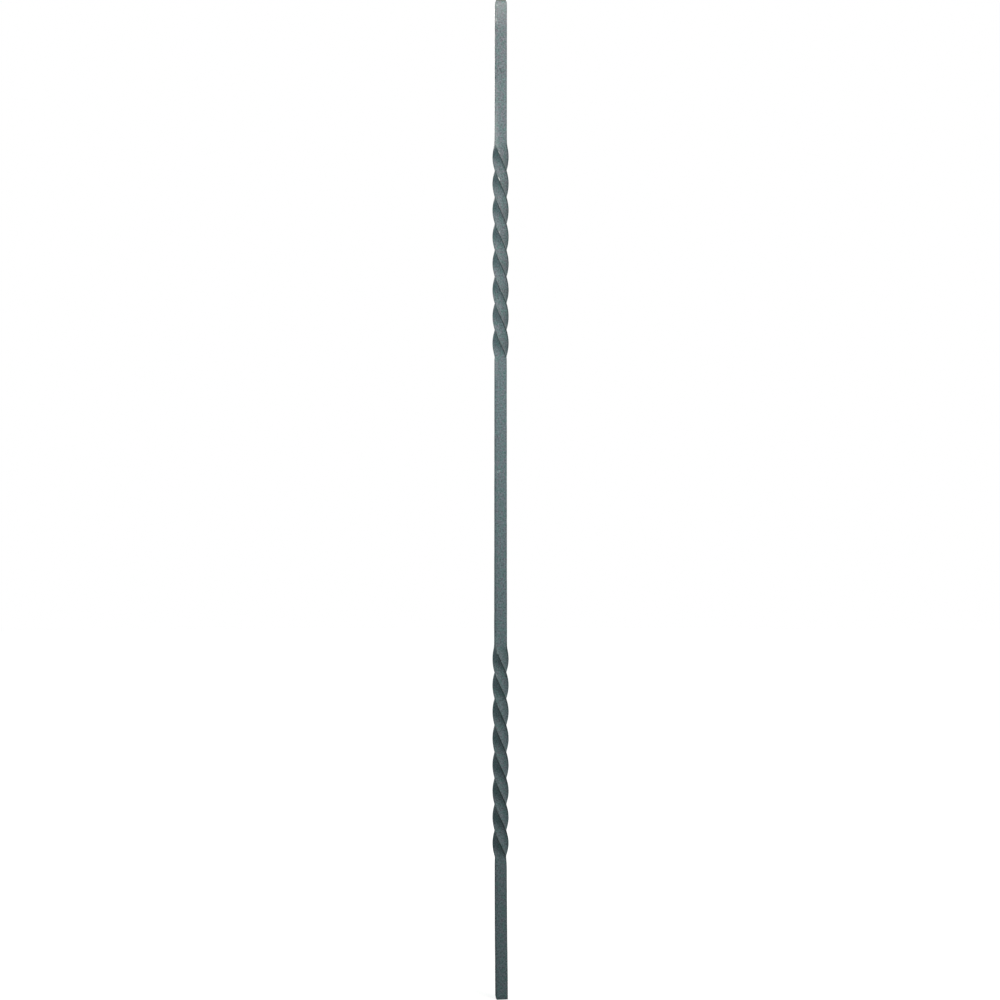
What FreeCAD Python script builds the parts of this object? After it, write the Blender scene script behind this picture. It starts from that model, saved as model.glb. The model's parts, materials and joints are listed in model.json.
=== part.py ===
# Iron stair baluster: one length of square bar with two twisted runs, bevelled at both ends.
# It stands on +Z with its origin at the centre of its bottom end. Lengths are in millimetres.

import FreeCAD
import Part
import Sketcher

import math
import os

# Driving dimensions: name, value, meaning
SIZES = (
    ("bar_side", 12.0, "side of the square bar"),
    ("corner_radius", 0.8, "rolled corner of the bar"),
    ("bottom_shank", 140.0, "plain run from the bottom end to the lower twist"),
    ("twist_length", 220.0, "length of each twisted run"),
    ("twist_turns", 2.0, "full turns in each twisted run, left-handed"),
    ("twist_ease", 8.0, "length over which a twist starts, and over which it stops"),
    ("middle_run", 280.0, "plain run between the two twists"),
    ("top_shank", 140.0, "plain run from the upper twist to the top end"),
    ("bevel_inset", 1.2, "how far a bevelled end draws in on each side"),
    ("bevel_length", 3.0, "how far a bevel reaches along the bar"),
)

NODE = "baluster"
SHEET = "Sizes"
UP = FreeCAD.Vector(0, 0, 1)

# Sketch references: the points of a line or arc, the origin and the upright axis
START, END, CENTRE = 1, 2, 3
ORIGIN_POINT = (-1, 1)
UPRIGHT_AXIS = -2

# The bar has four sides, and each of its corners is two arcs of half a quarter turn
SIDES = 4
QUARTER_TURN = math.pi / 2
HALF_CORNER = QUARTER_TURN / 2

# How finely the eased ends of a twist are drawn, and how closely the volume has to agree
EASE_STEPS = 12
EASE_DEGREE = 5
EASE_TOLERANCE = 1e-3
VOLUME_TOLERANCE = 1e-3


def cell(alias):
    """The expression that reads one driving dimension."""
    return f"{SHEET}.{alias}"


def add_sheet(doc):
    """One row for each driving dimension: its meaning, and its value under its alias."""
    sheet = doc.addObject("Spreadsheet::Sheet", SHEET)
    for row, (alias, value, meaning) in enumerate(SIZES, start=1):
        sheet.set(f"A{row}", meaning)
        sheet.set(f"B{row}", str(value))
        sheet.setAlias(f"B{row}", alias)
    doc.recompute()
    return sheet


def attached_sketch(body, name, role):
    """An empty sketch on one of the body's own origin planes."""
    sketch = body.newObject("Sketcher::SketchObject", name)
    plane = next(item for item in body.Origin.OriginFeatures if item.Role == role)
    sketch.AttachmentSupport = [(plane, "")]
    sketch.MapMode = "FlatFace"
    return sketch


def dimension(sketch, name, expression, kind, *where):
    """A named sketch dimension that follows an expression."""
    index = sketch.addConstraint(Sketcher.Constraint(kind, *where))
    sketch.renameConstraint(index, name)
    sketch.setExpression(f"Constraints.{name}", expression)


def bar_section(body, sheet, name, height, turn, inset="0"):
    """The bar's rounded square at a height, turned about the bar's axis and drawn in by an inset.

    Each corner is two equal arcs that meet on its crest, so a twisted corner has a crest line.
    """
    sketch = attached_sketch(body, name, "XY_Plane")
    sketch.AttachmentOffset = FreeCAD.Placement(FreeCAD.Vector(), FreeCAD.Rotation(UP, 0))
    sketch.setExpression("AttachmentOffset.Base.z", height)
    sketch.setExpression("AttachmentOffset.Rotation.Angle", turn)

    half = sheet.get("bar_side") / 2
    radius = sheet.get("corner_radius")
    flat = half - radius
    lines = []
    for side in range(SIDES):
        begin = QUARTER_TURN * (side - 1)
        facing = FreeCAD.Rotation(UP, math.degrees(QUARTER_TURN * side))
        start = facing.multVec(FreeCAD.Vector(-flat, -half, 0))
        end = facing.multVec(FreeCAD.Vector(flat, -half, 0))
        centre = facing.multVec(FreeCAD.Vector(flat, -flat, 0))
        corner = Part.Circle(centre, UP, radius)
        lines.append(sketch.addGeometry(Part.LineSegment(start, end)))
        sketch.addGeometry(Part.ArcOfCircle(corner, begin, begin + HALF_CORNER))
        sketch.addGeometry(Part.ArcOfCircle(corner, begin + HALF_CORNER, begin + QUARTER_TURN))

    front, right, back, left = lines
    for line, following in zip(lines, lines[1:] + lines[:1]):
        first, second = line + 1, line + 2
        sketch.addConstraint(
            [
                Sketcher.Constraint("Tangent", line, END, first, START),
                Sketcher.Constraint("Coincident", first, END, second, START),
                Sketcher.Constraint("Coincident", first, CENTRE, second, CENTRE),
                Sketcher.Constraint("Tangent", second, END, following, START),
                Sketcher.Constraint("Angle", first, HALF_CORNER),
            ]
        )
        if line != front:
            sketch.addConstraint(Sketcher.Constraint("Equal", front + 1, first))
    sketch.addConstraint(
        [
            Sketcher.Constraint("Horizontal", front),
            Sketcher.Constraint("Vertical", right),
            Sketcher.Constraint("Horizontal", back),
            Sketcher.Constraint("Vertical", left),
            Sketcher.Constraint("Symmetric", front, START, back, START, *ORIGIN_POINT),
        ]
    )
    across = f"{cell('bar_side')} - 2 * ({inset})"
    dimension(sketch, "width", across, "DistanceX", left, START, right, START, 2 * half)
    dimension(sketch, "depth", across, "DistanceY", front, START, back, START, 2 * half)
    dimension(sketch, "corner", cell("corner_radius"), "Radius", front + 1, radius)
    return sketch


def bar_axis(body, sheet, name, height, length):
    """A line on the bar's axis from a height upwards, along which a twisted run is swept."""
    sketch = attached_sketch(body, name, "XZ_Plane")
    reach = sheet.get("twist_length")
    start = FreeCAD.Vector(0, reach, 0)
    line = sketch.addGeometry(Part.LineSegment(start, 2 * start))
    sketch.addConstraint(Sketcher.Constraint("Vertical", line))
    sketch.addConstraint(Sketcher.Constraint("PointOnObject", line, START, UPRIGHT_AXIS))
    dimension(sketch, "foot", height, "DistanceY", *ORIGIN_POINT, line, START, reach)
    dimension(sketch, "reach", length, "DistanceY", line, START, line, END, reach)
    return sketch


def smooth_edge(points):
    """One smooth edge close along a row of points."""
    curve = Part.BSplineCurve()
    curve.approximate(Points=points, DegMin=EASE_DEGREE, DegMax=EASE_DEGREE, Tolerance=EASE_TOLERANCE)
    return curve.toShape()


def twist_guide(doc, sheet, name, foot):
    """The left-handed spiral, beside the bar, that a twisted run's section keeps facing.

    It starts and stops turning over the ease, and is a true helix between. In an ease the rate of
    turn goes between nothing and full along half a cosine wave, so an ease makes half the turn that
    the full rate would.
    """
    length = sheet.get("twist_length")
    ease = sheet.get("twist_ease")
    radius = sheet.get("bar_side")
    whole_turn = 2 * math.pi * sheet.get("twist_turns")
    full_rate = whole_turn / (length - ease)

    def eased_turn(travel):
        return full_rate / 2 * (travel - ease / math.pi * math.sin(math.pi * travel / ease))

    def on_spiral(turn, travel):
        return FreeCAD.Vector(radius * math.cos(-turn), radius * math.sin(-turn), foot + travel)

    steps = [ease * step / EASE_STEPS for step in range(EASE_STEPS + 1)]
    start = smooth_edge([on_spiral(eased_turn(step), step) for step in steps])
    stop = smooth_edge([on_spiral(whole_turn - eased_turn(step), length - step) for step in reversed(steps)])
    left_handed = True
    helix = Part.makeHelix(2 * math.pi / full_rate, length - 2 * ease, radius, 0, left_handed)
    helix.rotate(FreeCAD.Vector(), UP, -math.degrees(eased_turn(ease)))
    helix.translate(UP * (foot + ease))
    guide = doc.addObject("Part::Feature", name)
    guide.Shape = Part.Wire([start, *helix.Edges, stop])
    return guide


def plain_run(body, name, section, length):
    """A straight run of the bar, upwards from its section."""
    pad = body.newObject("PartDesign::Pad", name)
    pad.Profile = section
    pad.setExpression("Length", length)


def bevel(body, name, section, far_section):
    """A bevelled end: flat faces from one section to the other."""
    loft = body.newObject("PartDesign::AdditiveLoft", name)
    loft.Profile = section
    loft.Sections = [far_section]
    loft.Ruled = True


def twisted_run(body, name, section, axis, guide):
    """A twisted run: the section goes up the axis and turns to keep facing the guide."""
    pipe = body.newObject("PartDesign::AdditivePipe", name)
    pipe.Profile = section
    pipe.Spine = (axis, ["Edge1"])
    pipe.Mode = "Auxiliary"
    pipe.AuxiliarySpine = (guide, [f"Edge{number}" for number in range(1, len(guide.Shape.Edges) + 1)])
    pipe.AuxiliaryCurvilinear = False


def build_baluster(doc, sheet):
    """The whole bar, run by run from its bottom end to its top end."""
    body = doc.addObject("PartDesign::Body", "Baluster")
    body.Label = NODE
    body.Placement = FreeCAD.Placement()

    bevel_length = cell("bevel_length")
    inset = cell("bevel_inset")
    length = cell("twist_length")
    lower_foot = cell("bottom_shank")
    middle_foot = f"{lower_foot} + {length}"
    upper_foot = f"{middle_foot} + {cell('middle_run')}"
    top_foot = f"{upper_foot} + {length}"
    top_end = f"{top_foot} + {cell('top_shank')}"
    no_turn = "0 deg"
    after_lower = f"-360 deg * {cell('twist_turns')}"
    after_upper = f"2 * ({after_lower})"

    bottom_end_section = bar_section(body, sheet, "bottom_end_section", "0", no_turn, inset)
    bottom_section = bar_section(body, sheet, "bottom_section", bevel_length, no_turn)
    lower_section = bar_section(body, sheet, "lower_twist_section", lower_foot, no_turn)
    middle_section = bar_section(body, sheet, "middle_section", middle_foot, after_lower)
    upper_section = bar_section(body, sheet, "upper_twist_section", upper_foot, after_lower)
    top_section = bar_section(body, sheet, "top_section", top_foot, after_upper)
    shoulder_section = bar_section(
        body, sheet, "top_shoulder_section", f"{top_end} - {bevel_length}", after_upper
    )
    top_end_section = bar_section(body, sheet, "top_end_section", top_end, after_upper, inset)
    lower_axis = bar_axis(body, sheet, "lower_twist_axis", lower_foot, length)
    upper_axis = bar_axis(body, sheet, "upper_twist_axis", upper_foot, length)
    lower_guide = twist_guide(doc, sheet, "lower_twist_guide", sheet.get("bottom_shank"))
    upper_guide = twist_guide(
        doc,
        sheet,
        "upper_twist_guide",
        sheet.get("bottom_shank") + sheet.get("twist_length") + sheet.get("middle_run"),
    )
    doc.recompute()

    bevel(body, "bottom_bevel", bottom_end_section, bottom_section)
    plain_run(body, "bottom_shank_run", bottom_section, f"{cell('bottom_shank')} - {bevel_length}")
    twisted_run(body, "lower_twist", lower_section, lower_axis, lower_guide)
    plain_run(body, "middle_plain_run", middle_section, cell("middle_run"))
    twisted_run(body, "upper_twist", upper_section, upper_axis, upper_guide)
    plain_run(body, "top_shank_run", top_section, f"{cell('top_shank')} - {bevel_length}")
    bevel(body, "top_bevel", shoulder_section, top_end_section)
    doc.recompute()
    return body


def section_area(sheet, inset=0.0):
    """The area of the bar's rounded square, drawn in by an inset."""
    side = sheet.get("bar_side") - 2 * inset
    return side**2 - (4 - math.pi) * sheet.get("corner_radius") ** 2


def expected_volume(sheet):
    """Twisting keeps the section, so the bar is its section times its length, less the bevels."""
    plain = section_area(sheet)
    halfway = section_area(sheet, sheet.get("bevel_inset") / 2)
    end = section_area(sheet, sheet.get("bevel_inset"))
    between_bevels = (
        sheet.get("bottom_shank")
        + sheet.get("middle_run")
        + sheet.get("top_shank")
        + 2 * sheet.get("twist_length")
        - 2 * sheet.get("bevel_length")
    )
    one_bevel = sheet.get("bevel_length") * (plain + 4 * halfway + end) / 6
    return plain * between_bevels + 2 * one_bevel


def check(doc, sheet, body):
    """Stop before anything is written if a feature failed or the bar isn't one sound solid."""
    for item in doc.Objects:
        if "Invalid" in item.State or "Error" in item.State:
            raise RuntimeError(f"{item.Label} failed: {item.State}")
    shape = body.Shape
    if shape.isNull() or not shape.isValid() or len(shape.Solids) != 1:
        raise RuntimeError(f"{body.Label} isn't one valid solid")
    expected = expected_volume(sheet)
    if abs(shape.Volume - expected) > VOLUME_TOLERANCE * expected:
        raise RuntimeError(f"{body.Label} has a volume of {shape.Volume}, not {expected}")


def main():
    doc = FreeCAD.newDocument("IronBaluster")
    sheet = add_sheet(doc)
    body = build_baluster(doc, sheet)
    check(doc, sheet, body)
    os.makedirs("parts", exist_ok=True)
    body.Shape.exportStep(f"parts/{body.Label}.step")


main()
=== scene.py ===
"""The looks of an iron stair baluster: the skin of its twisted bar, its mill scale and a plain white studio.

The skin is one surface of two parameters, the way round a rounded square and the way up the bar.
Lengths are in metres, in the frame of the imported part: +Z up, origin at the centre of the bottom end.
"""

import json
import math

import bpy
import numpy as np
from bpy.props import FloatProperty, FloatVectorProperty, IntProperty, PointerProperty
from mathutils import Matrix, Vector


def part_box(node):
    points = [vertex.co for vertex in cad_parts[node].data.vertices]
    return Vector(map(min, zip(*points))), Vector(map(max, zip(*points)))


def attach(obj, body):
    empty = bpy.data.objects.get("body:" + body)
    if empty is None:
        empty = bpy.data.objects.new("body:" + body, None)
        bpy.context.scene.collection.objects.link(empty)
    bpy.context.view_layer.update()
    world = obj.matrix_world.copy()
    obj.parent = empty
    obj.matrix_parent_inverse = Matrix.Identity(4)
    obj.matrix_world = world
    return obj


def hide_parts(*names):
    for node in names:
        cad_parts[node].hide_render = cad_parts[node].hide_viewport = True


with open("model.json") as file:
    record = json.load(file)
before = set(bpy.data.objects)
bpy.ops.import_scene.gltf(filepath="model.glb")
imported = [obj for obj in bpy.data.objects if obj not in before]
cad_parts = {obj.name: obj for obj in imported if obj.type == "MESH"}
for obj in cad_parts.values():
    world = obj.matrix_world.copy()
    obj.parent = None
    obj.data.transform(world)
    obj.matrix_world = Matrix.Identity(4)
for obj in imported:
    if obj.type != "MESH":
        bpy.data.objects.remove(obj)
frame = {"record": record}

bl_info = {
    "name": "Iron Stair Baluster",
    "version": (1, 0, 0),
    "blender": (4, 5, 0),
    "location": "3D View > Sidebar > Baluster",
    "description": "Makes the skin and finish of a twisted iron stair baluster, and a plain studio for it",
    "category": "Object",
}

MM = 0.001
NODE, SLOT, BODY = "baluster", "iron", "root"
PIECE = "twisted_bar"

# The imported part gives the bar's height, and the mount of its bottom shank gives the plain ends and bevels
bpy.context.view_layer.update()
BOTTOM, TOP = (corner.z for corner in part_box(NODE))
SHANK_MOUNT = next(mount for mount in frame["record"]["mounts"] if mount["name"] == "bottom_shank")
BEVEL_LENGTH = SHANK_MOUNT["pos_m"][2] - BOTTOM
SHANK = BEVEL_LENGTH + SHANK_MOUNT["dims"]["length_mm"] * MM

# The bar's sides, and how finely its skin is drawn: steps round it, distances up it, and the number of
# places at which those distances are looked up
SIDES = 4
FACE_STEPS = 20
CORNER_STEPS = 6
CAP_STEPS = 8
RIM_STEPS = 4
PLAIN_STEP = 2.5 * MM
TWIST_STEP = 1.1 * MM
FINE_STEP = 0.3 * MM
FINE_REACH = 4 * MM
SPACING_SAMPLES = 40001

# How softly a bevel meets the bar, as a share of the bevel's length
SHOULDER = 0.1

# As made, the runs aren't quite square to each other or in line, the twists start and stop unevenly, and
# the bar is pinched at the foot of the lower twist. Stations up the bar: the height in millimetres, the
# turn in degrees, and the shift to the right and the pinch of each side in millimetres
AS_MADE = (
    (0, 4.8, 1.0, 0.0),
    (30, 4.3, 0.78, 0.0),
    (75, 3.2, 0.38, 0.0),
    (120, 2.8, 0.18, 0.0),
    (134, 2.4, 0.1, 0.0),
    (142, 0.6, 0.0, 0.24),
    (146, -2.4, 0.0, 0.0),
    (160, -5.0, 0.0, 0.0),
    (240, -9.5, 0.0, 0.0),
    (290, -7.0, 0.0, 0.0),
    (340, -9.0, 0.0, 0.0),
    (351, -6.3, 0.0, 0.0),
    (357, 6.1, 0.0, 0.0),
    (365, 6.5, 0.0, 0.0),
    (430, 4.9, 0.0, 0.0),
    (640, 3.2, 0.0, 0.0),
    (645, -1.5, 0.0, 0.0),
    (845, 1.0, 0.0, 0.0),
    (852, 1.5, 0.0, 0.0),
    (857, 5.0, 0.05, 0.0),
    (872, 2.2, 0.15, 0.0),
    (1000, 2.2, 0.3, 0.0),
)

# Marks on the front, in millimetres: start and end as (across, height), width, depth, and how far
# the mark is lightened towards bright steel (above 0) or filled with dark scale (below 0). The light ones
# are scuffs, painted glints and a painted sheen, as noted below
FRONT_MARKS = (
    # Scratches, scuffs and a painted sheen along the left edge of the top shank
    ((-0.8, 930.7), (1.2, 926.9), 0.60, 0.10, -0.75),
    ((-2.1, 925.1), (-2.0, 924.4), 0.60, 0.08, -0.7),
    ((-2.9, 929.2), (-2.5, 927.6), 0.60, 0.06, -0.4),
    ((3.6, 929.4), (3.5, 927.5), 0.60, 0.06, -0.4),
    ((3.0, 924.8), (3.6, 924.5), 0.60, 0.05, -0.35),
    ((-0.4, 961.6), (2.8, 955.8), 0.55, 0.05, -0.3),
    ((-4.3, 994.6), (-3.0, 994.3), 0.60, 0.08, 0.35),
    ((-4.2, 986.6), (-4.1, 984.2), 0.50, 0.05, 0.2),
    ((-4.2, 981.2), (-4.1, 978.6), 0.50, 0.10, 0.45),
    ((-3.9, 976.3), (-2.6, 975.9), 0.55, 0.06, 0.2),
    # Painted sheen along the left edge
    ((-4.3, 915.0), (-4.4, 853.0), 1.70, 0.00, 0.09),
    ((-4.3, 885.0), (-4.4, 853.0), 1.70, 0.00, 0.07),
    # Small nicks on the corners of the upper twist, with painted glints in them, the last one almost white
    ((-1.9, 847.6), (-0.5, 845.7), 0.30, 0.08, 0.4),
    ((-1.2, 767.6), (-0.9, 767.0), 0.40, 0.08, 0.6),
    ((-2.0, 821.8), (-0.8, 819.2), 0.32, 0.10, 1.1),
    # Lighter left edges at both ends of the middle run, two scuffs on it, and two small nicks with painted
    # glints on the lower twist
    ((-4.6, 641.0), (-4.6, 624.0), 1.50, 0.00, 0.08),
    ((-4.6, 362.0), (-4.4, 347.0), 1.50, 0.00, 0.08),
    ((-3.2, 527.6), (-3.0, 527.2), 0.60, 0.06, 0.4),
    ((-1.0, 528.8), (-0.8, 528.4), 0.60, 0.06, 0.4),
    ((-3.6, 347.4), (-3.0, 346.2), 0.50, 0.06, 0.6),
    ((-3.9, 324.9), (-3.7, 323.9), 0.50, 0.06, 0.3),
)

# How the random unevenness varies: the shortest and longest pitch of a wave up the bar in millimetres, its
# usual pitch across the bar, the share of the dents that are on a corner, the spread of the logarithm of
# their sizes, and the mean and spread of the logarithm of their depths
PITCH_UP = (18, 90)
PITCH_ACROSS = 26 * MM
ON_CORNER = 0.75
SIZE_SPREAD = 0.35
DEPTH_MEAN, DEPTH_SPREAD = -0.3, 0.5

# Where the crests' wear and painted highlight are full, as a share of a crest's half width, and where the cut
# ends' dark and painted shade is full, as a share of its reach. The painted highlight under the top end sets
# in between two shares of the bevel's length
CREST_CORE = 0.4
SAWN_AND_SHADE_CORE = 1 / 3
BEVEL_EDGE = (0.8, 1.2)

# The noise levels between which each pattern of the scale runs from one end to the other, and the detail
# of the noise
PATCH_LEVELS = {"From Min": 0.4, "From Max": 0.62}
MOTTLE_LEVELS = {"From Min": 0.46, "From Max": 0.66}
GRAIN_LEVELS = {"From Min": 0.3, "From Max": 0.7}
WEAR_LEVELS = {"From Min": 0.1, "From Max": 0.6}
PATCH_DETAIL, FINE_DETAIL = 2.0, 1.0

# Lamps: the place in metres, the width in metres and the Studio property that holds the colour
LAMPS = {
    "key": ((0.23, -0.41, 1.56), 0.25, "key_colour"),
    "side": ((0.59, -0.36, 0.43), 0.25, "lamp_colour"),
    "left": ((-0.28, -0.35, 0.77), 0.15, "lamp_colour"),
    "back": ((-0.4, 1.2, 1.2), 0.4, "back_colour"),
}

# The floor's radius and the steps round it, and the distances from the bar between which its glow rises
# to white
FLOOR_RADIUS = 8.0
FLOOR_STEPS = 64
GLOW_NEAR, GLOW_FAR = 0.3, 1.0

# A Wave texture of scale 1 has a line every pi / 10 of a unit
WAVE_TEXTURE = math.pi / 10

# Sockets of a colour Mix node
FACTOR, FIRST, SECOND, MIXED = 0, 6, 7, 2


def linear_colour(code):
    """An sRGB hex colour as linear red, green and blue, by the standard's own curve."""
    share = np.array([int(code[place:place + 2], 16) for place in (1, 3, 5)]) / 255
    linear = np.where(share <= 0.04045, share / 12.92, ((share + 0.055) / 1.055) ** 2.4)
    return tuple(float(value) for value in linear)


def number_property(name, description, default, **kind):
    """A decimal setting, with its unit, subtype or limits."""
    return FloatProperty(name=name, description=description, default=default, **kind)


def share_property(name, description, default):
    """A setting from 0 to 1."""
    return number_property(name, description, default, subtype="FACTOR", min=0.0, max=1.0)


def length_property(name, description, default):
    """A length in metres."""
    return number_property(name, description, default, unit="LENGTH", precision=5)


def count_property(name, description, default):
    """A whole number."""
    return IntProperty(name=name, description=description, default=default)


def colour_property(name, description, code):
    """A colour, written as an sRGB hex value."""
    default = linear_colour(code)
    return FloatVectorProperty(
        name=name, description=description, default=default, subtype="COLOR", size=3, min=0.0, max=1.0
    )


class BarShape(bpy.types.PropertyGroup):
    """Sizes of the bar, as it was rolled, twisted and cut"""

    length: length_property("Length", "Height of the bar from end to end", TOP - BOTTOM)
    side: length_property("Side", "Side of the square bar", 12 * MM)
    corner: length_property("Corner", "Radius of the rolled corners", 0.8 * MM)
    shank: length_property("Shank", "Plain run at each end", SHANK)
    twist: length_property("Twist", "Length of each twisted run", 220 * MM)
    turns: number_property("Turns", "Full turns in a twisted run, left-handed", 2.0)
    ease: length_property("Ease", "Length over which a twist starts, and over which it stops", 8 * MM)
    bevel_length: length_property("Bevel length", "How far an end's bevel reaches up the bar", BEVEL_LENGTH)
    bevel_inset: length_property("Bevel inset", "How far a bevelled end draws in on each side", 1.2 * MM)
    rim: length_property("Rim", "Radius of the rim round a cut end", 0.25 * MM)
    cut_slope: length_property("Cut slope", "How much higher one side of the bottom cut is", 0.3 * MM)
    foot_left: share_property("Foot's left", "Share of the bevel on the left of the bottom end", 0.45)
    foot_right: share_property("Foot's right", "Share of the bevel on the right of the bottom end", 0.1)
    foot_front: share_property("Foot's front", "Share of the bevel on the front of the bottom end", 0.2)


class Handling(bpy.types.PropertyGroup):
    """Unevenness that rolling, twisting and handling leave on the bar"""

    wander: length_property("Wander", "How far the rolled faces wander", 0.07 * MM)
    waves: count_property("Waves", "Number of waves that the wander is made of", 14)
    dents: count_property("Dents", "Number of small dents, most of them on the corners", 110)
    dent_size: length_property("Dent size", "Usual radius of a dent", 1.1 * MM)
    dent_depth: length_property("Dent depth", "Usual depth of a dent", 0.1 * MM)
    seed: count_property("Seed", "Start of the random numbers", 11)


class ScaleFinish(bpy.types.PropertyGroup):
    """Colours and pattern sizes of the mill scale, and of the painted shade and highlights on it"""

    scale: colour_property("Scale", "Blue-grey of the mill scale", "#65757A")
    green: colour_property("Greenish scale", "Thinner scale with a green cast", "#5E7677")
    dusk: colour_property("Warm scale", "Thicker scale with a faint warm cast", "#6C747B")
    # Also the colour of the painted highlights, glints and sheen
    worn_and_highlight: colour_property("Worn steel", "Steel bared along corners and scuffs", "#C2D2D2")
    deep: colour_property("Deep scale", "Dark scale in scratches", "#3A4446")
    # Also the colour of the painted shade round the edges of the cut ends
    cut: colour_property("Cut end", "Darkened steel of the sawn ends", "#3E463F")
    saw_line: colour_property("Saw line", "Lighter lines that the saw left on the ends", "#555E5A")
    patch_size: length_property("Patch size", "Size of a patch of scale", 6 * MM)
    mottle_size: length_property("Mottle size", "Size of a mottle in the scale", 2.2 * MM)
    grain_size: length_property("Grain size", "Size of the scale's grain", 1.5 * MM)
    grain_depth: share_property("Grain depth", "How much the grain lightens and darkens", 0.36)
    # The crests' light line is partly wear and partly a painted highlight
    corner_wear_and_highlight: share_property("Corner wear", "Steel bared on the corners of a twist", 0.15)
    crest_width: length_property("Crest width", "Half the width of a worn corner's line", 0.5 * MM)
    # A painted highlight under the top bevel, and how far down it reaches
    end_highlight: share_property("End wear", "Steel rubbed lighter under the top bevel", 0.16)
    highlight_reach: length_property("End reach", "How far down the top end is rubbed", 30 * MM)
    # Round the edges of the cut ends their dark is painted shade, reaching further at the top
    sawn_foot_and_shade: length_property("Sawn foot", "How far the bottom's dark cut reaches round its edge", 0.6 * MM)
    sawn_head_and_shade: length_property("Sawn head", "How far the top's dark cut reaches round its edge", 1.9 * MM)
    saw_pitch: length_property("Saw pitch", "Distance from one saw line to the next", 1.0 * MM)
    saw_wobble: number_property("Saw wobble", "How uneven the saw lines are", 2.0)
    # The flank settings are painted shade beside the corners: on the plain runs from the foot to the head,
    # and on a twist's lower and upper flanks
    flank: length_property("Flank", "Width of the dark scale beside a corner", 1.6 * MM)
    flank_foot: share_property("Flank at the foot", "Darkness of the flanks at the bottom", 0.15)
    flank_head: share_property("Flank at the head", "Darkness of the flanks at the top", 0.1)
    flank_low: share_property("Lower flank", "Darkness of a twist's lower flanks", 0.62)
    flank_high: share_property("Upper flank", "Darkness of a twist's upper flanks", 0.15)
    # The twisted runs are drawn darker by this share
    twist_darkening: share_property("Fire shade", "How much darker the twisted runs are", 0.09)
    roughness: share_property("Roughness", "Roughness of sound scale", 0.65)
    sheen: share_property("Sheen", "Specular level of the dull scale", 0.03)
    # Smoother where the wear and the painted highlights are
    wear_and_highlight_smoothing: share_property("Rubbing", "How much smoother bared steel is", 0.25)
    relief: share_property("Relief", "Strength of the grain's relief", 0.5)
    relief_depth: length_property("Relief depth", "Depth of the grain's relief", 0.1 * MM)


class Studio(bpy.types.PropertyGroup):
    """The camera, the lamps and the floor"""

    lens: number_property("Lens", "Focal length in millimetres", 100.0, unit="CAMERA")
    sensor: number_property("Sensor", "Sensor width in millimetres", 36.0, unit="CAMERA")
    turn: number_property("Turn", "How far round the bar the camera stands", 0.0, subtype="ANGLE")
    picture: count_property("Picture", "Width and height of the picture in pixels", 1000)
    bar_pixels: number_property("Bar pixels", "Height of the bar in the picture", 999.9, subtype="PIXEL")
    bar_column: number_property("Bar column", "Pixel column of the bar's axis", 500.55, subtype="PIXEL")
    bar_foot: number_property("Bar foot", "Pixel row of the bar's bottom", 999.6, subtype="PIXEL")
    paper: colour_property("Paper", "White paper floor, under its own glow", "#8C8C8C")
    paper_glow: share_property("Paper glow", "Glow of the floor near the bar", 0.8)
    key_power: number_property("Key power", "Watts of the high lamp in front", 12.4, unit="POWER")
    side_power: number_property("Side power", "Watts of the low lamp on the right", 1.84, unit="POWER")
    left_power: number_property("Left power", "Watts of the small lamp on the left", 1.42, unit="POWER")
    back_power: number_property("Back power", "Watts of the lamp behind the bar", 14.0, unit="POWER")
    key_colour: colour_property("Key colour", "Warm light of the high lamp", "#FFE6E0")
    lamp_colour: colour_property("Lamp colour", "White light of the lamps on the right and left", "#F8FEFC")
    back_colour: colour_property("Back colour", "White light of the lamp behind the bar", "#FCF4F0")
    fill: share_property("Fill", "Strength of the even light from all round", 0.155)
    fill_colour: colour_property("Fill colour", "Cool light from all round", "#C8FEFF")


def add(tree, kind, inputs=None, **settings):
    """A node with its settings. An input that is given a socket is linked, any other is set to its value."""
    node = tree.nodes.new(kind)
    for name, value in settings.items():
        setattr(node, name, value)
    for name, value in (inputs or {}).items():
        if isinstance(value, bpy.types.NodeSocket):
            tree.links.new(value, node.inputs[name])
        else:
            node.inputs[name].default_value = value
    return node


def opaque(colour):
    """A colour with full alpha."""
    return (*colour, 1.0)


def empty_tree(owner):
    """The node tree of a material or a world, emptied."""
    owner.use_nodes = True
    owner.node_tree.nodes.clear()
    return owner.node_tree


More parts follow.
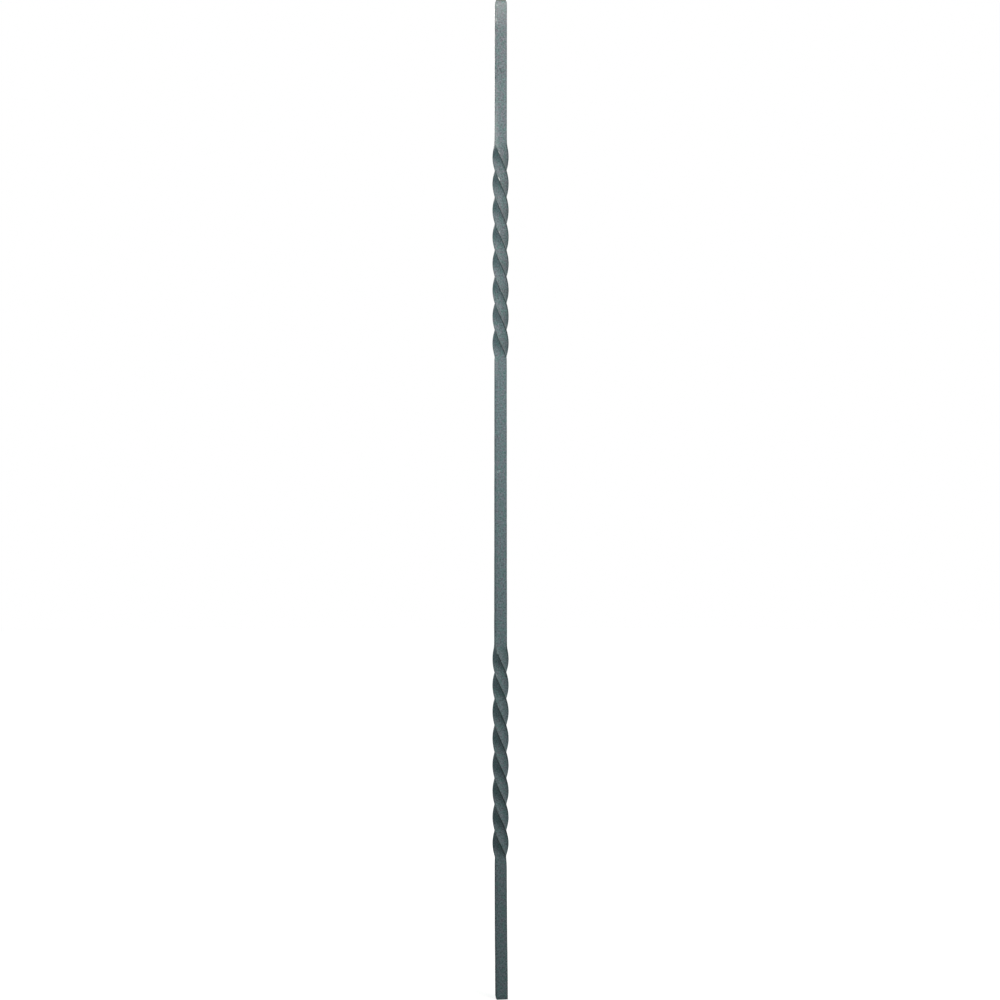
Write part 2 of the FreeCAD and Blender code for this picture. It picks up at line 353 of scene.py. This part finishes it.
def row_profile(shape):
    """The rows of the skin from the bottom's centre to the top's: heights, insets and shares of the section.

    Up the bar the rows are as close as the closest spacing that holds there. A bevel's inset falls in
    a straight line to nothing, softened at its shoulder. Over the rim of a cut end, height and inset
    follow a quarter circle, and across the cut the section shrinks to its centre.
    """
    sampled = np.linspace(0, shape.length, SPACING_SAMPLES)
    step = np.full_like(sampled, PLAIN_STEP)
    lower, upper = shape.shank, shape.length - shape.shank - shape.twist
    spans = [(lower, lower + shape.twist, TWIST_STEP), (upper, upper + shape.twist, TWIST_STEP)]
    marked = [0.0, shape.length]
    marked += [(start[1] + end[1]) / 2 * MM for start, end, _, hollow, _ in FRONT_MARKS if hollow > 0]
    spans += [(height - FINE_REACH, height + FINE_REACH, FINE_STEP) for height in marked]
    for low, high, spacing in spans:
        step = np.where((sampled >= low) & (sampled <= high), np.minimum(step, spacing), step)
    count = np.concatenate(([0], np.cumsum(np.diff(sampled) / step[1:])))
    rows = np.interp(np.linspace(0, count[-1], round(count[-1]) + 1), count, sampled)
    rows = rows[(rows > shape.rim) & (rows < shape.length - shape.rim)]

    lean = np.linspace(math.pi / 2, 0, RIM_STEPS + 1)
    rim_height = shape.rim * (1 - np.sin(lean))
    rim_inset = shape.rim * (1 - np.cos(lean))
    cap_share = np.linspace(0, 1, CAP_STEPS + 1)[1:-1]
    flat = np.zeros_like(cap_share)

    heights = np.concatenate((flat, rim_height, rows, shape.length - rim_height[::-1], flat + shape.length))
    none = np.zeros_like(rows)
    rounding = np.concatenate((flat + shape.rim, rim_inset, none, rim_inset[::-1], flat + shape.rim))
    shares = np.concatenate((cap_share, 0 * rim_height + 1, none + 1, 0 * rim_height + 1, cap_share[::-1]))
    from_end = np.minimum(heights, shape.length - heights)
    ramp = 1 - from_end / shape.bevel_length
    softened = (ramp + np.sqrt(ramp**2 + SHOULDER**2)) / 2
    return heights, shape.bevel_inset * softened + rounding, shares


def rounded_square(shape):
    """Points round the bar: their place on the inner square, the way they face, how far off a crest is,
    and whether that crest is on their left, seen from outside.

    A rounded square is an inner square, with sides from -1 to 1 here, grown by the corner's radius.
    Places and facings are complex numbers, x + iy, so a turn is a product. The front faces -Y.
    """
    along = np.linspace(-1, 1, FACE_STEPS + 1)
    bend = np.linspace(0, math.pi / 2, CORNER_STEPS + 1)[1:-1]
    inner = np.concatenate((along - 1j, np.full(len(bend), 1 - 1j)))
    facing = -1j * np.exp(1j * np.concatenate((0 * along, bend)))
    on_face = shape.corner * math.pi / 4 + (shape.side / 2 - shape.corner) * (1 - np.abs(along))
    off_crest = np.concatenate((on_face, shape.corner * np.abs(bend - math.pi / 4)))
    crest_left = np.concatenate((along < 0, bend > math.pi / 4))
    quarter = 1j ** np.arange(SIDES)[:, None]
    places, facings = (quarter * inner).ravel(), (quarter * facing).ravel()
    return places, facings, np.tile(off_crest, SIDES), np.tile(crest_left, SIDES)


def twist_turn(shape, heights):
    """The bar's turn at each height, left-handed.

    In a twist the rate of turn rises and falls along half a cosine wave over the ease, and is even between.
    """
    whole = 2 * math.pi * shape.turns
    rate = whole / (shape.twist - shape.ease)
    turn = np.zeros_like(heights)
    for foot in (shape.shank, shape.length - shape.shank - shape.twist):
        travel = np.clip(heights - foot, 0, shape.twist)
        from_end = np.minimum(travel, shape.twist - travel)
        wave = shape.ease / math.pi * np.sin(math.pi * np.minimum(from_end, shape.ease) / shape.ease)
        eased = rate / 2 * (np.minimum(from_end, shape.ease) - wave)
        made = eased + rate * np.maximum(from_end - shape.ease, 0)
        turn -= np.where(travel < shape.twist / 2, made, whole - made)
    return turn


def twisted_share(shape, heights):
    """1 in the twisted runs and 0 in the plain ones, with a straight change over each ease."""
    share = np.zeros_like(heights)
    for foot in (shape.shank, shape.length - shape.shank - shape.twist):
        inside = np.minimum(heights - foot, foot + shape.twist - heights)
        share += np.clip(inside / shape.ease, 0, 1)
    return share


def as_made(heights):
    """The turn in radians, the shift and the pinch at each height, in straight lines between the stations."""
    stations, turns, shifts, pinches = np.array(AS_MADE).T
    turn, shift, pinch = (np.interp(heights / MM, stations, values) for values in (turns, shifts, pinches))
    return np.radians(turn), shift * MM, pinch * MM


def painted_flank_shade(off_crest, crest_left, twisted, up, finish):
    """Painted shade beside a corner: full for half the flank's width, then falling to nothing.

    On the plain runs it changes in a straight line from the foot to the head. In a twist the lower side
    is darker than the upper one, which has the crest on its left.
    """
    band = np.clip(2 - 2 * off_crest / finish.flank, 0, 1)
    plain = finish.flank_foot + (finish.flank_head - finish.flank_foot) * up
    turned = np.where(crest_left, finish.flank_high, finish.flank_low)
    return band * (((1 - twisted) * plain)[:, None] + np.outer(twisted, turned))


def rolled_wander(place, handling, numbers):
    """How far the rolled faces lie under the true bar, from nothing to the full wander.

    It is a sum of long slanting sine waves, brought to an even spread about half the wander.
    """
    pitch = numbers.uniform(*PITCH_UP, handling.waves) * MM
    slant = numbers.normal(0, 2 * math.pi / PITCH_ACROSS, (handling.waves, 2))
    phase = numbers.uniform(0, 2 * math.pi, handling.waves)
    total = np.zeros(place.shape[:2])
    for wave in range(handling.waves):
        way = np.array([*slant[wave], 2 * math.pi / pitch[wave]])
        total += np.sin(place @ way + phase[wave])
    return handling.wander * np.clip(0.5 - total / math.sqrt(2 * handling.waves) / 2, 0, 1)


def handling_dents(place, shape, handling, numbers):
    """Depth of the dents: each one a round bell-shaped hollow, mostly on a corner of the bar."""
    half = shape.side / 2
    depth = np.zeros(place.shape[:2])
    for _ in range(handling.dents):
        corner = numbers.integers(SIDES)
        slip = half * numbers.choice([1.0, numbers.uniform(-1, 1)], p=[ON_CORNER, 1 - ON_CORNER])
        across = 1j**corner * complex(slip, -half)
        centre = (across.real, across.imag, numbers.uniform(0, shape.length))
        radius = handling.dent_size * numbers.lognormal(0, SIZE_SPREAD)
        hollow = handling.dent_depth * numbers.lognormal(DEPTH_MEAN, DEPTH_SPREAD)
        near = np.sum((place - np.array(centre)) ** 2, axis=-1) / radius**2
        depth += hollow * np.exp(-near)
    return depth


def front_marks(place, shape):
    """Depth of the marks on the front, and how light or dark they are.

    A mark is a stroke: its effect fades along a bell curve with the distance to the line it follows.
    It is as wide seen from the front on a turned face as on a square one. Only points that lie further
    to the front than a quarter of the bar's side are marked. The light marks are scuffs, painted glints and a
    painted sheen.
    """
    depth, tone = np.zeros(place.shape[:2]), np.zeros(place.shape[:2])
    spot = np.stack((place[..., 0], place[..., 2]), axis=-1) / MM
    on_front = place[..., 1] < -shape.side / 4
    for start, end, width, hollow, bared in FRONT_MARKS:
        line = np.subtract(end, start)
        share = np.clip((spot - start) @ line / (line @ line), 0, 1)
        gap = np.linalg.norm(spot - start - share[..., None] * line, axis=-1)
        stroke = np.where(on_front, np.exp(-((gap / width) ** 2)), 0)
        depth += hollow * MM * stroke
        tone += bared * stroke
    return depth, tone


def scale_facts(shape, finish, heights, off_crest, crest_left, tone):
    """What the finish needs to know of each point, as amounts from 0 to 1.

    shade is the share of the scale's own lightness that the twists' darkening and the painted shade on the
    corners' flanks leave it. crest is 1 along the corners of the twists, where wear and a painted highlight
    lie.
    bared has a painted highlight that falls in a straight line from the top bevel to its reach,
    and the light marks, which are scuffs, painted glints and a painted sheen, while scored has the dark ones.
    sawn is 1 on the cut ends, and round their edges it is painted shade.
    """
    twisted = twisted_share(shape, heights)
    from_top = shape.length - heights
    from_end = np.minimum(heights, from_top)
    twist_dark = 1 - finish.twist_darkening * twisted
    flank = painted_flank_shade(off_crest, crest_left, twisted, heights / shape.length, finish)
    crest = np.interp(off_crest, (CREST_CORE * finish.crest_width, finish.crest_width), (1, 0))
    bevel_edge = (share * shape.bevel_length for share in BEVEL_EDGE)
    top_highlight = np.interp(from_top, (*bevel_edge, finish.highlight_reach), (0, finish.end_highlight, 0))
    sawn_and_shade_reach = np.where(heights < from_top, finish.sawn_foot_and_shade, finish.sawn_head_and_shade)
    sawn = np.interp(from_end / sawn_and_shade_reach, (SAWN_AND_SHADE_CORE, 1), (1, 0))
    return {
        "shade": twist_dark[:, None] * (1 - flank),
        "crest": np.outer(twisted, crest),
        "bared": top_highlight[:, None] + np.maximum(tone, 0),
        "scored": np.maximum(-tone, 0),
        "sawn": np.outer(sawn, np.ones(len(off_crest))),
    }


def bar_skin(shape, handling, finish):
    """Rings of points up the bar, with what the finish needs to know of them.

    A point is the inner square's point plus the radius along its facing, less the unevenness, turned by
    the twist. The rolled place is the same point before the twist, which the scale's pattern follows.
    """
    numbers = np.random.default_rng(handling.seed)
    heights, insets, shares = row_profile(shape)
    inner, facing, off_crest, crest_left = rounded_square(shape)
    made_turn, shift, pinch = as_made(heights)
    flat = shape.side / 2 - insets - pinch - shape.corner
    level = np.outer(heights, np.ones(len(inner)))

    def stacked(flatwise):
        return np.stack((flatwise.real, flatwise.imag, level), axis=-1)

    true = shares[:, None] * (np.outer(flat, inner) + shape.corner * facing)

    # The bottom end was ground less on three sides: there the section is widened by what was left on
    half = shape.side / 2
    at_foot = (heights < shape.bevel_length)[:, None]

    def widened(share):
        return np.where(at_foot, (half - share * insets[:, None]) / (half - insets)[:, None], 1)

    sideways = widened(np.where(true.real > 0, shape.foot_right, shape.foot_left))
    lengthwise = widened(np.where(true.imag < 0, shape.foot_front, 1))
    true = true.real * sideways + 1j * true.imag * lengthwise

    turn = np.exp(1j * (twist_turn(shape, heights) + made_turn))
    rolled = stacked(true)
    mark_depth, mark_tone = front_marks(stacked(true * turn[:, None] + shift[:, None]), shape)
    wander = rolled_wander(rolled, handling, numbers)
    dents = handling_dents(rolled, shape, handling, numbers)
    uneven = true - shares[:, None] * (mark_depth + wander + dents) * facing
    rings = stacked(uneven * turn[:, None] + shift[:, None])

    # The bottom cut is a little out of square: it rises to the right and fades out up the bevel
    fade = np.clip(1 - heights / shape.bevel_length, 0, 1)
    rings[..., 2] += shape.cut_slope * fade[:, None] * (0.5 + true.real / shape.side)
    return rings, {"rolled": rolled, **scale_facts(shape, finish, heights, off_crest, crest_left, mark_tone)}


def closed_mesh(name, rings):
    """A mesh of rings, each joined to the next by quads and closed at each end by a fan onto its middle."""
    count, around, _ = rings.shape
    ring = np.arange(count)[:, None] * around
    here = np.arange(around)
    following = np.roll(here, -1)
    corners = (ring[:-1] + here, ring[:-1] + following, ring[1:] + following, ring[1:] + here)
    quads = np.stack(corners, axis=-1).reshape(-1, 4)
    bottom, top = count * around, count * around + 1
    bottom_fan = np.stack((np.full(around, bottom), following, here), axis=-1)
    top_fan = np.stack((np.full(around, top), ring[-1] + here, ring[-1] + following), axis=-1)
    points = np.concatenate((rings.reshape(-1, 3), rings[0].mean(0)[None], rings[-1].mean(0)[None]))
    mesh = bpy.data.meshes.new(name)
    mesh.from_pydata(points.tolist(), [], quads.tolist() + bottom_fan.tolist() + top_fan.tolist())
    mesh.shade_smooth()
    return mesh


def paint(mesh, facts):
    """Each fact becomes an attribute of the skin's points. The two end middles take their ring's mean."""
    for name, values in facts.items():
        vector = values.ndim == 3
        flat = values.reshape(-1, *values.shape[2:])
        whole = np.concatenate((flat, values[0].mean(0)[None], values[-1].mean(0)[None]))
        attribute = mesh.attributes.new(name, "FLOAT_VECTOR" if vector else "FLOAT", "POINT")
        attribute.data.foreach_set("vector" if vector else "value", whole.astype(np.float32).ravel())


def mill_scale(finish):
    """Hot-rolled mild steel with its mill scale left on, twisted hot.

    The scale is a thin dull oxide, so the eye sees a matt blue-grey that is mottled with green and warm
    grey. Painted shade darkens it along the corners' flanks, and the crests of the twists carry a light line
    of bared steel that is partly wear and partly a painted highlight.
    """
    material = bpy.data.materials.new("hot_rolled_mild_steel_mill_scale")
    tree = empty_tree(material)
    rolled = add(tree, "ShaderNodeAttribute", attribute_name="rolled").outputs["Vector"]
    shade, crest, bared, scored, sawn = (
        add(tree, "ShaderNodeAttribute", attribute_name=name).outputs["Fac"]
        for name in ("shade", "crest", "bared", "scored", "sawn")
    )

    # Real mottling and grain are finer than a pixel here, so they are drawn as coarse as they need to show
    sizes = (finish.patch_size, finish.mottle_size, finish.grain_size)
    patches, mottle, grain = (
        add(
            tree,
            "ShaderNodeTexNoise",
            {"Vector": rolled, "Scale": 1 / size, "Detail": detail},
        ).outputs["Fac"]
        for size, detail in zip(sizes, (PATCH_DETAIL, FINE_DETAIL, FINE_DETAIL))
    )

    # Patches of thinner scale and mottles of thicker scale, then lighter and darker grain over all of it
    greenish = add(tree, "ShaderNodeMapRange", {"Value": patches, **PATCH_LEVELS})
    dusky = add(tree, "ShaderNodeMapRange", {"Value": mottle, **MOTTLE_LEVELS})
    colour = opaque(finish.scale)
    for amount, layer in ((greenish, finish.green), (dusky, finish.dusk)):
        layers = {FACTOR: amount.outputs[0], FIRST: colour, SECOND: opaque(layer)}
        colour = add(tree, "ShaderNodeMix", layers, data_type="RGBA").outputs[MIXED]
    swing = {"To Min": 1 - finish.grain_depth, "To Max": 1 + finish.grain_depth}
    grained = add(tree, "ShaderNodeMapRange", {"Value": grain, **GRAIN_LEVELS, **swing})
    # The lightness is then scaled by shade, which holds the twists' darkening and the painted shade beside
    # the corners
    lightness = add(tree, "ShaderNodeMath", {0: grained.outputs[0], 1: shade}, operation="MULTIPLY")
    shaded = {"Color": colour, "Value": lightness.outputs[0]}
    colour = add(tree, "ShaderNodeHueSaturation", shaded).outputs["Color"]

    # Steel bared in broken lines on the crests, partly wear and partly painted highlight, a painted highlight
    # under the top end, scuffs, painted glints in nicks, a painted sheen, dark scratches, and dark cut ends
    # with painted shade round their edges
    wear = {"Value": mottle, **WEAR_LEVELS, "To Max": finish.corner_wear_and_highlight}
    broken = add(tree, "ShaderNodeMapRange", wear)
    lines = {0: crest, 1: broken.outputs[0], 2: bared}
    worn_and_highlight = add(tree, "ShaderNodeMath", lines, operation="MULTIPLY_ADD", use_clamp=True).outputs[0]
    stroke = {"Scale": WAVE_TEXTURE / finish.saw_pitch, "Distortion": finish.saw_wobble}
    saw = add(tree, "ShaderNodeTexWave", {"Vector": rolled, **stroke})
    lined = {FACTOR: saw.outputs["Fac"], FIRST: opaque(finish.cut), SECOND: opaque(finish.saw_line)}
    cut = add(tree, "ShaderNodeMix", lined, data_type="RGBA").outputs[MIXED]
    for amount, layer in ((worn_and_highlight, opaque(finish.worn_and_highlight)), (scored, opaque(finish.deep)), (sawn, cut)):
        layers = {FACTOR: amount, FIRST: colour, SECOND: layer}
        colour = add(tree, "ShaderNodeMix", layers, data_type="RGBA").outputs[MIXED]

    smoothing = {"To Min": finish.roughness, "To Max": finish.roughness - finish.wear_and_highlight_smoothing}
    roughness = add(tree, "ShaderNodeMapRange", {"Value": worn_and_highlight, **smoothing})
    raised = {"Height": grain, "Strength": finish.relief, "Distance": finish.relief_depth}
    relief = add(tree, "ShaderNodeBump", raised)
    shader = add(
        tree,
        "ShaderNodeBsdfPrincipled",
        {
            "Base Color": colour,
            "Roughness": roughness.outputs[0],
            "Normal": relief.outputs["Normal"],
            "Specular IOR Level": finish.sheen,
        },
    )
    add(tree, "ShaderNodeOutputMaterial", {"Surface": shader.outputs[0]})
    return material


def background_ray(tree):
    """1 for rays that show the background: those of the camera, of gloss and of anything clear."""
    path = add(tree, "ShaderNodeLightPath")
    seen = add(
        tree,
        "ShaderNodeMath",
        {0: path.outputs["Is Camera Ray"], 1: path.outputs["Is Glossy Ray"]},
        operation="MAXIMUM",
    )
    return add(
        tree,
        "ShaderNodeMath",
        {0: seen.outputs[0], 1: path.outputs["Is Transmission Ray"]},
        operation="MAXIMUM",
    ).outputs[0]


def white_paper(studio):
    """White paper: it shows as white where it is lit, and takes a faint shadow near the bar.

    Away from the bar the lamps fall off, and its glow makes up for them.
    """
    material = bpy.data.materials.new("matt_white_paper")
    tree = empty_tree(material)
    paper = add(tree, "ShaderNodeBsdfDiffuse", {"Color": opaque(studio.paper)})
    place = add(tree, "ShaderNodeTexCoord").outputs["Object"]
    off_bar = add(tree, "ShaderNodeVectorMath", {0: place}, operation="LENGTH").outputs["Value"]
    ends = {"From Min": GLOW_NEAR, "From Max": GLOW_FAR, "To Min": studio.paper_glow, "To Max": 1.0}
    level = add(tree, "ShaderNodeMapRange", {"Value": off_bar, **ends}).outputs[0]
    strength = add(tree, "ShaderNodeMath", {0: level, 1: background_ray(tree)}, operation="MULTIPLY")
    glow = add(tree, "ShaderNodeEmission", {"Strength": strength.outputs[0]})
    both = add(tree, "ShaderNodeAddShader", {0: paper.outputs[0], 1: glow.outputs[0]})
    add(tree, "ShaderNodeOutputMaterial", {"Surface": both.outputs[0]})
    return material


def white_world(studio):
    """White where it is seen, and an even dim fill where it lights the bar."""
    world = bpy.data.worlds.new("white_studio")
    tree = empty_tree(world)
    fill = opaque(studio.fill * colour for colour in studio.fill_colour)
    light = add(
        tree,
        "ShaderNodeMix",
        {FACTOR: background_ray(tree), FIRST: fill, SECOND: (1, 1, 1, 1)},
        data_type="RGBA",
    )
    glow = add(tree, "ShaderNodeBackground", {"Color": light.outputs[MIXED]})
    add(tree, "ShaderNodeOutputWorld", {"Surface": glow.outputs[0]})
    return world


def place_object(name, data):
    """A new object in the scene, at the origin."""
    item = bpy.data.objects.new(name, data)
    bpy.context.scene.collection.objects.link(item)
    return item


def aimed(item, location, target):
    """Puts a lamp or camera at a place, looking at a target."""
    item.location = location
    item.rotation_euler = (Vector(target) - Vector(location)).to_track_quat("-Z", "Y").to_euler()


class BALUSTER_OT_twisted_bar(bpy.types.Operator):
    """Makes the skin of the twisted bar and its mill scale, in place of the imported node"""

    bl_idname = "baluster.twisted_bar"
    bl_label = "Twisted bar"

    def execute(self, context):
        scene = context.scene
        rings, facts = bar_skin(scene.bar_shape, scene.bar_handling, scene.bar_finish)
        mesh = closed_mesh(PIECE, rings)
        paint(mesh, facts)
        mesh.materials.append(mill_scale(scene.bar_finish))
        bar = place_object(PIECE, mesh)
        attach(bar, BODY)
        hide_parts(NODE)
        return {"FINISHED"}


class BALUSTER_OT_studio(bpy.types.Operator):
    """Makes the white floor, the lamps and the camera"""

    bl_idname = "baluster.studio"
    bl_label = "Studio"

    def execute(self, context):
        scene = context.scene
        studio, shape = scene.bar_studio, scene.bar_shape
        scene.view_settings.view_transform = "Standard"
        scene.world = white_world(studio)

        around = FLOOR_RADIUS * np.exp(2j * math.pi * np.arange(FLOOR_STEPS) / FLOOR_STEPS)
        disc = np.stack((around.real, around.imag, np.zeros(FLOOR_STEPS)), axis=-1)
        floor_mesh = bpy.data.meshes.new("floor")
        floor_mesh.from_pydata(disc.tolist(), [], [list(range(len(disc)))])
        floor_mesh.materials.append(white_paper(studio))
        place_object("floor", floor_mesh)

        middle = (0, 0, shape.length / 2)
        for name, (place, width, colour) in LAMPS.items():
            lamp = bpy.data.lights.new(name, "AREA")
            lamp.shape = "DISK"
            lamp.size = width
            lamp.energy = getattr(studio, name + "_power")
            lamp.color = getattr(studio, colour)
            aimed(place_object(name, lamp), place, middle)

        # The bar's height in the picture is taken at the front edges of its ends, inside their bevels
        metres_per_pixel = shape.length / studio.bar_pixels
        reach = metres_per_pixel * studio.picture * studio.lens / studio.sensor
        distance = reach + shape.side / 2 - shape.bevel_inset
        ahead = Vector((-math.sin(studio.turn), math.cos(studio.turn), 0))
        right = Vector((ahead.y, -ahead.x, 0))
        aside = (studio.picture / 2 - studio.bar_column) * metres_per_pixel
        level = (studio.bar_foot - studio.picture / 2) * metres_per_pixel
        target = right * aside + Vector((0, 0, level))
        camera = bpy.data.cameras.new("camera")
        camera.lens = studio.lens
        camera.sensor_width = studio.sensor
        camera.dof.use_dof = False
        scene.camera = place_object("camera", camera)
        aimed(scene.camera, target - ahead * distance, target)
        return {"FINISHED"}


class BALUSTER_PT_sidebar(bpy.types.Panel):
    """Lists what makes the baluster and its studio, with their settings"""

    bl_idname = "BALUSTER_PT_sidebar"
    bl_label = "Baluster"
    bl_space_type = "VIEW_3D"
    bl_region_type = "UI"
    bl_category = "Baluster"

    def draw(self, context):
        for maker in OPERATORS:
            self.layout.operator(maker.bl_idname)
        for name, group in GROUPS.items():
            box = self.layout.box()
            for prop in group.__annotations__:
                box.prop(getattr(context.scene, name), prop)


GROUPS = {"bar_shape": BarShape, "bar_handling": Handling, "bar_finish": ScaleFinish, "bar_studio": Studio}
OPERATORS = (BALUSTER_OT_twisted_bar, BALUSTER_OT_studio)
CLASSES = (*GROUPS.values(), *OPERATORS, BALUSTER_PT_sidebar)


def register():
    """Adds the classes, and their settings on the scene."""
    for item in CLASSES:
        bpy.utils.register_class(item)
    for name, group in GROUPS.items():
        setattr(bpy.types.Scene, name, PointerProperty(type=group))


def unregister():
    """Takes the settings and the classes away again."""
    for name in GROUPS:
        delattr(bpy.types.Scene, name)
    for item in reversed(CLASSES):
        bpy.utils.unregister_class(item)


def main():
    """Makes the baluster and its studio."""
    register()
    bpy.ops.baluster.twisted_bar()
    bpy.ops.baluster.studio()


if __name__ == "__main__":
    main()
